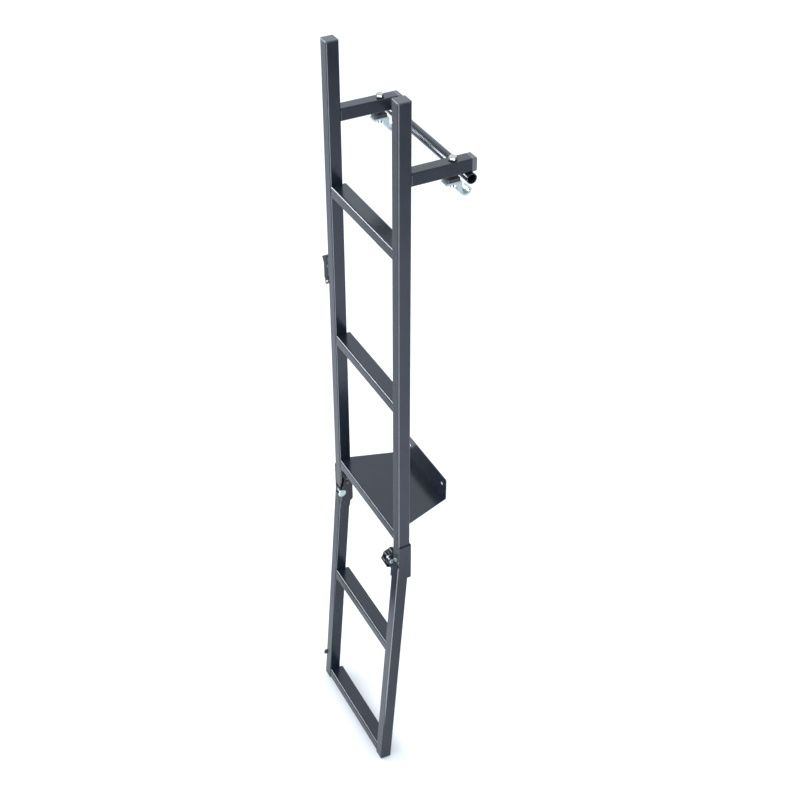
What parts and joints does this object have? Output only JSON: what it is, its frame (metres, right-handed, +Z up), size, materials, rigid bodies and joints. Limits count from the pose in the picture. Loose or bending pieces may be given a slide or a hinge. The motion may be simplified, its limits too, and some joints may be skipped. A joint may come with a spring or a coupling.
{
  "type": "folding vehicle rear ladder",
  "caption": "Narrow rear-door ladder with flat treads, a deep screw-on platform step, roof gutter hooks and a fold-up lower section.",
  "frame": {"origin": "midway between the two screw holes, on the back face of the platform's mounting flange", "axes": "+X to the climber's right, +Y towards the vehicle, +Z up along the uprights"},
  "size_m": [0.3233, 0.1973, 1.6169],
  "materials": {
    "powder_coat": "satin grey powder coat",
    "black_plastic": "matt, lightly grained",
    "grey_plastic": "satin grey moulding",
    "zinc_steel": "bright zinc plating",
    "dark_steel": "black oxide"
  },
  "bodies": {
    "upper_frame": {"upper_tread": "powder_coat", "middle_tread": "powder_coat", "platform_step": "powder_coat", "cross_tube": "powder_coat", "left_upper_upright": "powder_coat", "left_arm": "powder_coat", "left_outer_bracket": "powder_coat", "left_hinge_plate": "powder_coat", "left_hinge_spacer": "powder_coat", "left_pivot_pin": "zinc_steel", "left_top_cap": "grey_plastic", "left_arm_cap": "grey_plastic", "left_end_cap": "black_plastic", "right_upper_upright": "powder_coat", "right_arm": "powder_coat", "right_outer_bracket": "powder_coat", "right_hinge_plate": "powder_coat", "right_hinge_spacer": "powder_coat", "right_pivot_pin": "zinc_steel", "right_top_cap": "grey_plastic", "right_arm_cap": "grey_plastic", "right_end_cap": "black_plastic", "clamp_washers": "dark_steel", "hinge_screws": "dark_steel", "lock_barrel": "zinc_steel", "lock_spring": "zinc_steel", "catch_base": "grey_plastic", "catch_pivot_pin": "zinc_steel", "catch_rivet": "zinc_steel", "catch_spring": "zinc_steel"},
    "lower_section": {"lower_tread": "powder_coat", "bottom_tread": "powder_coat", "left_lower_upright": "powder_coat", "left_hinge_ear": "powder_coat", "left_fold_cap": "black_plastic", "left_foot_cap": "grey_plastic", "right_lower_upright": "powder_coat", "right_hinge_ear": "powder_coat", "right_fold_cap": "black_plastic", "right_foot_cap": "grey_plastic", "ear_rivets": "powder_coat", "catch_keeper": "grey_plastic", "keeper_rivet": "zinc_steel"},
    "left_clamp": {"left_gutter_hook": "zinc_steel", "left_nut_block": "dark_steel"},
    "left_bolt": {"left_clamp_bolt": "zinc_steel"},
    "right_clamp": {"right_gutter_hook": "zinc_steel", "right_nut_block": "dark_steel"},
    "right_bolt": {"right_clamp_bolt": "zinc_steel"},
    "lock": {"lock_knob": "black_plastic", "lock_pin": "zinc_steel"},
    "catch": {"catch_lever": "grey_plastic"}
  },
  "joints": [
    {"name": "fold", "type": "hinge", "parent": "upper_frame", "child": "lower_section", "pos_m": [0, -0.145, -0.113], "axis": [-1, 0, 0], "range_deg": [0, 175.6]},
    {"name": "lock_pull", "type": "slide", "parent": "upper_frame", "child": "lock", "axis": [-1, 0, 0], "range_m": [0, 0.0078], "stiffness_N_per_m": 600, "springref_m": -0.008, "deforming": ["lock_spring"]},
    {"name": "catch_press", "type": "hinge", "parent": "upper_frame", "child": "catch", "pos_m": [-0.1555, -0.1355, 0.444], "axis": [0, 1, 0], "range_deg": [0, 12], "stiffness_Nm_per_rad": 0.4, "springref_deg": -28.65},
    {"name": "left_clamp_screw", "type": "hinge", "parent": "upper_frame", "child": "left_bolt", "pos_m": [-0.1373, -0.033, 0.788], "axis": [0, 0, -1], "range_deg": [-2165, 1733]},
    {"name": "left_hook_slide", "type": "slide", "parent": "upper_frame", "child": "left_clamp", "axis": [0, 0, 1], "range_m": [-0.0075, 0.006]},
    {"name": "right_clamp_screw", "type": "hinge", "parent": "upper_frame", "child": "right_bolt", "pos_m": [0.1373, -0.033, 0.788], "axis": [0, 0, -1], "range_deg": [-2165, 1733]},
    {"name": "right_hook_slide", "type": "slide", "parent": "upper_frame", "child": "right_clamp", "axis": [0, 0, 1], "range_m": [-0.0075, 0.006]}
  ],
  "couplings": [
    {"joint": "left_clamp_screw", "follows": "left_hook_slide", "rad_per_m": 5026.5},
    {"joint": "right_clamp_screw", "follows": "right_hook_slide", "rad_per_m": 5026.5}
  ]
}
